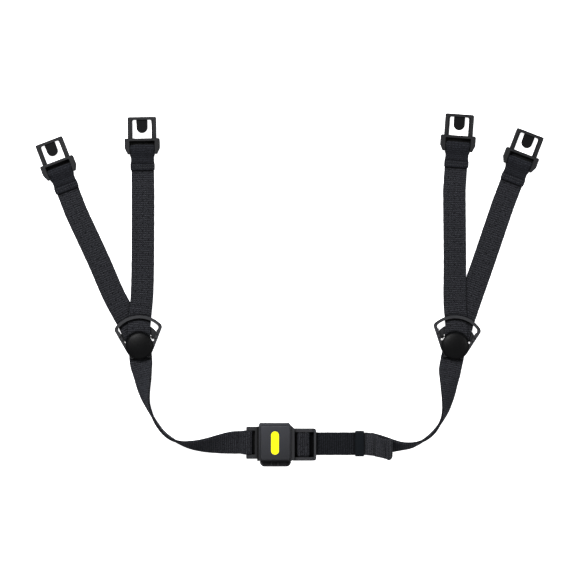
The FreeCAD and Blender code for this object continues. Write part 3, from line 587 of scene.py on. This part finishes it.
# ------------------------------------------------------------------ strap legs
# clip bar, in the clip's own frame: place along local Y, height, path radius
BAR_ALONG, BAR_HEIGHT, BAR_RADIUS = -6.6, 2.5, 1.95
LOW_HEIGHT = 0.55
FRONT_HEIGHT = 1.5       # the front legs lie on top of the rear ones
HEM_ROWS = (-17.85, -19.55)

# folded-back end, from the rolled hem up to the bar: place along local Y, height
HEM = [
    (-16.9, 2.56), (-17.7, 2.52), (-19.9, 2.5), (-20.5, 2.42), (-20.8, 2.0), (-20.5, 1.6),
    (-19.9, 1.52), (-16.6, 1.52), (-14.2, 1.55), (-12.6, 1.85), (-11.2, 2.55), (-9.6, 3.5),
    (-8.4, 4.06),
]
# length along the tape, extra half width
HEM_FLARE = ([0.0, 7.6, 10.0, 12.5, 14.5, 17.5, 23.0, 25.5],
             [0.55, 0.45, 0.1, 0.15, 0.75, 0.80, 0.55, 0.0])

# side, kind, plan points between clip and divider, lean at the divider in
# degrees, distance from the divider's centre at which the leg ends
LEGS = (
    ("left", "front", [(-88.4, 123.0), (-89.0, 99.0)], 0.9, 1.2),
    ("right", "front", [(119.9, 123.0), (119.8, 96.0)], -4.2, 1.2),
    ("left", "rear", [(-118.1, 123.0), (-107.6, 99.0)], 25.0, 3.2),
    ("right", "rear", [(139.5, 123.0), (130.8, 98.0)], -18.5, 3.2),
)


def build_leg(side, kind, middle, lean, end):
    centre, across, away = spot_frame(CLIPS[side + "_" + kind])
    height = FRONT_HEIGHT if kind == "front" else LOW_HEIGHT

    # hem, then round the clip bar and back out below
    ends = HEM + [(BAR_ALONG + BAR_RADIUS * cos, BAR_HEIGHT + BAR_RADIUS * sin)
                  for cos, sin in arc(range(105, -96, -15))]
    ends += [(-8.5, LOW_HEIGHT), (-14.0, LOW_HEIGHT), (-24.0, LOW_HEIGHT)]
    if kind == "front":
        ends += [(-26.5, LOW_HEIGHT + 0.05), (-30.0, (LOW_HEIGHT + FRONT_HEIGHT) / 2),
                 (-33.0, FRONT_HEIGHT - 0.03)]
    points = [centre + away * along + UP * z for along, z in ends]
    widths = [across] * len(points)

    # the run down to the divider
    mid_x, mid_y, _ = DIVIDERS[side]
    cos, sin = arc([lean])[0]
    plan = [(centre + away * along)[:2] for along in (-30.0, -36.0)] + middle
    plan += [(mid_x - reach * sin, mid_y + reach * cos) for reach in (14, end)]
    run = spline([[x, y, height] for x, y in plan], 2.0)
    run = run[run[:, 1] < (centre + away * -34.0)[1]]
    points += list(run)
    widths += list(turned_left(unit(np.gradient(run, axis=0))))

    def over_divider(skin, _across, _along):
        # the leg rises over the divider's middle bar
        radius = np.hypot(skin[..., 0] - mid_x, skin[..., 1] - mid_y)
        rise = 2.42 * ease(radius, 7.4, 10.2) * (1 - ease(radius, 14.7, 18.2))
        skin[..., 2] += np.where(skin[..., 1] > mid_y - 3, rise, 0)

    web = Builder()
    web.tape(points, widths, step=0.42, shape=over_divider, flare=HEM_FLARE)
    strap = web.make(f"{side}_{kind}_leg", WEB, WEB_FOLD)
    use_slot(strap, 1, lambda x, y, z: z > 1.32 and (
        (x - centre[0]) * away[0] + (y - centre[1]) * away[1] > -22.5))

    # two rows of stitches across the hem, on top and on the underside
    seam = Builder()
    for row in HEM_ROWS:
        seam.stitch_row(centre + away * row + UP * 2.98, across, UP,
                        start=-7.1, stop=6.9, wander=0.05 * away)
    for row in HEM_ROWS:
        seam.stitch_row(centre + away * row + UP * 0.17, across, -UP,
                        start=-6.7, stop=6.5, radius=0.12, rise=0.02, sink=0.2)
    thread = seam.make(f"{side}_{kind}_thread", THREAD)

    body = side + ("_divider" if kind == "front" else "_rear")
    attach(strap, body)
    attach(thread, body)
    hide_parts(f"{side}_{kind}_strap")
    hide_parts(f"{side}_{kind}_stitching")


# ------------------------------------------------------------------ chin webbing
# x, y, twist in degrees: 0 lies flat, 90 stands on edge
LEFT_CHIN = [
    (-89.6, 54.9, 0), (-88.8, 50.3, 26), (-87.9, 43.0, 44), (-87.0, 35.0, 61),
    (-85.3, 27.5, 76), (-82.6, 21.0, 84), (-79.6, 15.2, 89), (-75.2, 9.0, 90),
    (-70.1, 4.6, 90), (-63.5, 1.4, 83), (-56.8, 0.0, 71.5), (-50.1, -0.4, 61),
    (-43.5, -0.1, 49), (-36.8, 0.6, 35), (-30.1, 1.2, 16), (-25.0, 1.3, 0),
]
RIGHT_CHIN = [
    (117.7, 55.0, 0), (116.7, 50.4, 9), (116.0, 45.7, 26), (115.6, 40.3, 42),
    (115.2, 35.0, 51), (114.6, 29.7, 62), (113.7, 24.3, 71), (112.1, 19.0, 80),
    (109.4, 13.7, 86), (105.5, 8.3, 89), (100.5, 4.0, 88), (95.2, 1.1, 83),
    (89.9, -0.5, 76), (84.5, -0.9, 71), (79.2, -0.6, 60), (73.9, -0.1, 46),
    (68.0, 0.3, 27), (63.6, 0.4, 9), (60.6, 0.4, 0),
]

# buckle bar that the left webbing turns round, and the radius of the turn
LOOP_X, LOOP_Y, LOOP_Z, LOOP_RADIUS = -17.85, 1.3, 3.0, 1.95
# x, z on the way up to the bar and on the way back below it
LOOP_RISE = ((-24.2, 1.62), (-22.6, 2.4), (-20.8, 3.7), (-19.4, 4.6))
LOOP_RETURN = ((-20.0, 0.93), (-22.5, 0.72), (-24.3, 0.6))


def twisted_path(side, stations, turn):
    """Centre, width direction, sheet normal and doubling of the chin webbing.

    turn is +1 or -1 for the way it twists; doubling falls from 1 to 0 where the
    right side thins to one layer.
    """
    centre, _, away = spot_frame(DIVIDERS[side])
    top = centre + away * -0.1
    first = stations[0]
    rows = [(top[0], top[1], 0.0, 0.0),
            ((top[0] + first[0]) / 2, (top[1] + first[1]) / 2, 0.0, 0.0)]
    rows += [(x, y, 0.0, twist) for x, y, twist in stations]
    rows = spline(rows, 1.0)
    twist = np.radians(smooth_rows(np.clip(rows[:, 3:4], 0, 90), 3)[:, 0])
    x, y = smooth_rows(rows[:, :2], 3).T
    if side == "right":
        doubling = np.clip((x - stations[-1][0]) / 7.0, 0, 1)
        doubling = np.where(y > 20, 1.0, doubling)
    else:
        doubling = np.ones(len(x))
    thickness = WEB_THICKNESS + 0.95 * doubling
    z = (WEB_HALF_WIDTH * np.sin(twist) + thickness / 2 * np.cos(twist) + 0.1
         + 0.85 * (1 - doubling))
    path = np.stack([x, y, z], 1)
    tangent = unit(np.gradient(path, axis=0))
    level = unit(turned_left(tangent) * turn)
    width = level * np.cos(twist)[:, None] + UP * np.sin(twist)[:, None]
    width = square_to(tangent, width)
    return path, width, np.cross(tangent, width) * turn, doubling


def build_left_chin():
    """One length of webbing up to the buckle, round its bar and back."""
    path, width, normal, _ = twisted_path("left", LEFT_CHIN, 1)
    loop = list(LOOP_RISE)
    for q in range(100, -101, -15):
        cos, sin = arc([q])[0]
        # the upper right of the turn bulges towards +X
        bulge = 0.45 * min(1.0, max(0.0, (q + 10) / 40.0)) * (1.0 if cos > 0 else 0.0)
        loop.append((LOOP_X + (LOOP_RADIUS + bulge) * cos, LOOP_Z + LOOP_RADIUS * sin))
    loop += LOOP_RETURN
    points = list(path + LAYER_OFFSET * normal)
    points += [np.array([x, LOOP_Y, z]) for x, z in loop]
    points += list((path - LAYER_OFFSET * normal)[::-1])
    widths = list(width) + [ALONG_Y] * len(loop) + list(width[::-1])

    def widen_at_loop(skin, across, _along):
        near = np.clip((skin[..., 0] + 23.5) / 3.5, 0, 1)
        skin[..., 1] += across / WEB_HALF_WIDTH * 0.42 * near

    web = Builder()
    web.tape(points, widths, step=0.42, shape=widen_at_loop)
    chin = web.make("left_chin_tape", WEB)
    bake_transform(chin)
    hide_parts("left_chin_webbing")


def build_right_chin():
    """Doubled from the divider, with one layer going on to the keeper."""
    path, width, normal, doubling = twisted_path("right", RIGHT_CHIN, -1)
    web = Builder()
    upper = list(path + (LAYER_OFFSET * doubling)[:, None] * normal)
    upper += [np.array([x, 0.4, 1.4]) for x in (58.0, KEEPER_X)]
    web.tape(upper, list(width) + [ALONG_Y] * 2, step=0.42)
    doubled = path[:, 0] > 64.5
    web.tape((path - LAYER_OFFSET * normal)[doubled], width[doubled], step=0.42,
             weave_start=3.1)
    chin = web.make("right_chin_tape", WEB)
    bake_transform(chin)
    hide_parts("right_chin_webbing")


# ------------------------------------------------------------------ adjuster
# x, z: from under the keeper, up through the left slot, over the bar and down
# through the right slot
ADJUSTER = [
    (KEEPER_X, 1.4), (50.0, 1.4), (40.0, 1.4), (30.0, 1.4), (22.0, 1.4), (18.0, 1.42),
    (16.0, 1.65), (15.15, 2.4), (14.98, 3.4), (14.98, 4.6), (15.3, 5.45), (16.1, 5.8),
    (17.2, 5.86), (18.7, 5.84), (20.2, 5.86), (21.3, 5.8), (22.1, 5.45), (22.42, 4.6),
    (22.42, 3.5), (22.7, 2.75), (23.6, 2.4), (26.6, 2.36),
]
# length along the tape, extra half width
ADJUSTER_FLARE = ([0.0, 39.5, 43.5, 45.5, 51.0, 53.5, 57.0],
                  [0, 0, 0.25, 1.3, 1.3, 0.3, 0.0])


def build_adjuster():
    def over_bar(skin, across, _along):
        # two soft rolls with a shallow valley between, and drooping edges
        x, z = skin[..., 0], skin[..., 2]
        top = np.clip((z - 5.2) / 0.6, 0, 1)
        rolls = 0.30 * np.cos((x - 16.4) * 2 * math.pi / 4.6)
        z += top * (rolls - 0.12 + 0.05 * np.sin(across * 0.8))
        z -= top * 0.5 * np.clip((np.abs(across) - 6.6) / 1.6, 0, 1) ** 2

    points = spline([(x, ADJUSTER_Y, z) for x, z in ADJUSTER], 0.5)
    web = Builder()
    web.tape(points, [ALONG_Y] * len(points), step=0.35, shape=over_bar,
             flare=ADJUSTER_FLARE)
    adjuster = web.make("adjuster_tape", WEB, WEB_DARK, WEB_SLOT_SHADE)
    # painted shade: the tape below 4.4 mm, down in the frame's slots and under the layers above, gets
    # the darker webbing
    use_slot(adjuster, 1, lambda x, y, z: z < 4.4)
    # painted shade: the tape in the right slot is near black
    use_slot(adjuster, 2, lambda x, y, z: 22.7 < x < 27.0)
    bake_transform(adjuster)
    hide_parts("adjuster_webbing")


# ------------------------------------------------------------------ free tail
# x, y, z, roll in degrees
TAIL = [
    (26.6, ADJUSTER_Y, 2.36, 0.0), (36.0, 0.5, 2.35, 0.0), (48.0, 0.5, 2.35, 0.0),
    (59.4, 0.5, 2.37, 0.0), (61.6, 0.4, 3.6, 3.0), (64.0, 0.0, 5.0, 10.0),
    (66.2, -0.5, 6.5, 16.0), (70.0, -1.1, 8.9, 23.0), (74.0, -1.8, 11.0, 25.5),
    (77.0, -2.4, 12.3, 26.0),
]


def build_tail():
    rows = spline(TAIL, 0.8)
    path, roll = rows[:, :3], np.radians(rows[:, 3])
    tangent = unit(np.gradient(path, axis=0))
    width = square_to(tangent, np.stack([0 * roll, np.cos(roll), np.sin(roll)], 1))
    normal = np.cross(tangent, width)
    end_normal = normal[-1]

    # the end folds over and back on top of itself
    lower_by = 0.55 * np.clip((path[:, 0] - 64.0) / 3.0, 0, 1)[:, None]
    points = list(path - normal * lower_by)
    for cos, sin in arc(range(-75, 76, 25)):
        points.append(path[-1] + tangent[-1] * 0.62 * cos + end_normal * 0.62 * sin)
    widths = list(width) + [width[-1]] * (len(points) - len(path))
    fold_at = np.linalg.norm(np.diff(np.array(points), axis=0), axis=1).sum()
    hem = path[:, 0] > 66.4
    points += list((path + normal * 0.58)[hem][::-1])
    widths += list(width[hem][::-1])

    def shape_end(skin, across, along):
        # x follows the skin as it is moved
        x = skin[..., 0]
        # the -Y side droops
        late = np.clip((x - 68.0) / 6.0, 0, 1)
        low_side = np.clip(-across / WEB_HALF_WIDTH, 0, 1)
        skin[..., 1] -= 0.75 * low_side * late
        skin[..., 2] -= 0.9 * low_side ** 2 * late
        # rounded corners
        corner = np.clip((np.abs(across) - 5.2) / 2.3, 0, 1) ** 2
        corner = corner * np.clip((x - 74.6) / 3.2, 0, 1)
        x -= corner * np.where(across > 0, 2.0, 1.5)
        # the folded layer stands off the one below along the +Y edge
        past = np.clip((along - fold_at) / 10.0, 0, 1)[:, None]
        hump = np.sin(math.pi * past ** 0.8) * np.clip((across + 1.5) / 8.5, 0, 1) ** 1.3
        ridge = 0.70 * np.exp(-((past - 0.14) / 0.09) ** 2)
        ridge = ridge * (0.7 + 0.3 * np.cos(across * 0.35))
        dip = -0.62 * np.exp(-((past - 0.36) / 0.08) ** 2)
        dip = dip * (0.6 + 0.4 * np.cos(across * 0.35 + 0.6))
        rise = (1.55 * hump + ridge + dip) * (past > 0)
        skin += rise[..., None] * end_normal
        # the stitch line pulls the layers together
        skin[..., 2] -= 0.38 * np.exp(-((x - 66.9) / 0.42) ** 2)

    web = Builder()
    web.tape(points, widths, step=0.4, shape=shape_end)
    tail = web.make("tail_tape", WEB_DARK, WEB_HEM_HIGHLIGHT)
    # the raised hem end gets the lighter webbing as a painted highlight
    use_slot(tail, 1, lambda x, y, z: x > 58.5)
    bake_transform(tail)
    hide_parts("tail_webbing")

    # row of stitches that closes the hem
    k = int(np.argmin(np.abs(path[:, 0] - 67.2)))
    seam = Builder()
    seam.stitch_row(path[k] + normal[k] * 0.70, width[k], normal[k], start=-6.6, stop=6.4)
    thread = seam.make("tail_thread", THREAD_DARK)
    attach(thread, "tail")


# ------------------------------------------------------------------ keeper
def build_keeper():
    """Moulded band: a rounded loop in the YZ plane round both layers."""
    mid_y, mid_z, half_y, half_z, corner = 0.5, 1.9, 8.12, 1.55, 0.9
    half_band, half_wall = 2.9, 0.36
    outline = []
    for side_y, side_z, start in ((1, 1, 0), (-1, 1, 90), (-1, -1, 180), (1, -1, 270)):
        outline += [(mid_y + side_y * (half_y - corner) + corner * cos,
                     mid_z + side_z * (half_z - corner) + corner * sin)
                    for cos, sin in arc(range(start, start + 91, 10))]
    # extra points along the straight sides
    dense = []
    for i in range(len(outline)):
        here, there = np.array(outline[i]), np.array(outline[(i + 1) % len(outline)])
        count = max(1, int(np.linalg.norm(there - here) / 0.5))
        dense += [here + (there - here) * j / count for j in range(count)]
    loop = np.array(dense)
    tangent = unit(np.roll(loop, -1, 0) - np.roll(loop, 1, 0))
    outward = np.stack([tangent[:, 1], -tangent[:, 0]], 1)

    # rounded box section, with a slight lip at both rims of the outer face
    section = []
    for cos, sin in arc(range(0, 360, 15)):
        x = half_band * np.sign(cos) * abs(cos) ** 0.18
        depth = half_wall * np.sign(sin) * abs(sin) ** 0.55
        section.append((x, depth + (0.05 if abs(x) > 2.6 and depth > 0 else 0)))
    band = Builder()
    for point, out in zip(loop, outward):
        for x, depth in section:
            y, z = point + out * depth
            band.verts.append((KEEPER_X + x, y, z))
    band.wrap(0, len(loop), len(section), closed=True)
    keeper = band.make("keeper_band", RUBBER)
    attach(keeper, "keeper")
    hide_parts("strap_keeper")


# ------------------------------------------------------------------ stage
def floor_material():
    """Bright to the camera, dim to other rays and clear from below."""
    mat = new_material("floor")
    mat.tree.nodes.clear()
    white = mat.new("BsdfDiffuse", {"Color": (0.86, 0.86, 0.86, 1)})[0]
    glow = mat.new("Emission", {"Color": (1, 1, 1, 1), "Strength": 0.9})[0]
    bright = mat.new("AddShader", {0: white, 1: glow})[0]
    dim = mat.new("BsdfDiffuse", {"Color": (0.32, 0.32, 0.33, 1)})[0]
    to_camera = mat.new("LightPath")["Is Camera Ray"]
    seen = mat.new("MixShader", {0: to_camera, 1: dim, 2: bright})[0]
    clear = mat.new("BsdfTransparent")[0]
    from_below = mat.new("NewGeometry")["Backfacing"]
    both = mat.new("MixShader", {0: from_below, 1: seen, 2: clear})[0]
    mat.new("OutputMaterial", {"Surface": both})
    return mat.owner


def build_floor():
    half, z = 3, -0.0003
    material = floor_material()
    mesh = bpy.data.meshes.new("floor")
    corners = [(-half, -half, z), (half, -half, z), (half, half, z), (-half, half, z)]
    mesh.from_pydata(corners, [], [(0, 1, 2, 3)])
    mesh.materials.append(material)
    floor = bpy.data.objects.new("floor", mesh)
    bpy.context.scene.collection.objects.link(floor)
    floor.visible_shadow = False


def build_world():
    """Studio light graded by height: brightest at the horizon, dark overhead."""
    world = bpy.data.worlds.new("studio")
    bpy.context.scene.world = world
    sky = Nodes(world)
    height = sky.split(sky.new("TexCoord")["Generated"])[2]
    colour = sky.new("ValToRGB", {0: height})[0]
    stops = colour.node.color_ramp.elements
    stops[0].color = (0.30, 0.31, 0.33, 1)
    stops[1].color = (0.06, 0.062, 0.066, 1)
    for position, grey in ((0.5, 0.85), (0.78, 0.60), (0.93, 0.10)):
        stops.new(position).color = (grey, grey * 1.02, grey * 1.05, 1)
    sky.feed(sky.tree.nodes["Background"], {"Color": colour, "Strength": 0.62})


def area_light(name, place, target, size, power):
    data = bpy.data.lights.new(name, "AREA")
    data.shape = "RECTANGLE"
    data.size, data.size_y = size
    data.energy = power
    light = bpy.data.objects.new(name, data)
    bpy.context.scene.collection.objects.link(light)
    light.location = place
    light.rotation_mode = "QUATERNION"
    light.rotation_quaternion = (Vector(target) - Vector(place)).to_track_quat("-Z", "Y")


def build_camera():
    """Looks straight down on the strap."""
    distance, view_width, sensor = 1.9, 0.38667, 36.0
    data = bpy.data.cameras.new("camera")
    camera = bpy.data.objects.new("camera", data)
    bpy.context.scene.collection.objects.link(camera)
    data.sensor_width = sensor
    data.lens = sensor * distance / view_width
    data.clip_start, data.clip_end = 0.05, 20
    camera.location = (0.00987, 0.1030, distance + 0.004)
    bpy.context.scene.camera = camera


paint_pieces()
for entry in LEGS:
    build_leg(*entry)
build_left_chin()
build_right_chin()
build_adjuster()
build_tail()
build_keeper()

build_floor()
build_world()
area_light("key", place=(-0.5, 0.85, 1.25), target=(0, 0.1, 0), size=(0.5, 0.5), power=26.0)
area_light("fill_low", place=(0.1, -0.6, 1.1), target=(0, 0.05, 0), size=(1.3, 0.5), power=2.0)
area_light("side", place=(1.0, 0.30, 0.8), target=(0, 0.1, 0), size=(0.5, 0.8), power=6.0)
area_light("under", place=(0.0, 0.1, -0.9), target=(0, 0.1, 0), size=(1.0, 1.0), power=14.0)
build_camera()
bpy.context.scene.view_settings.view_transform = "Standard"
bpy.context.scene.view_settings.gamma = 0.8
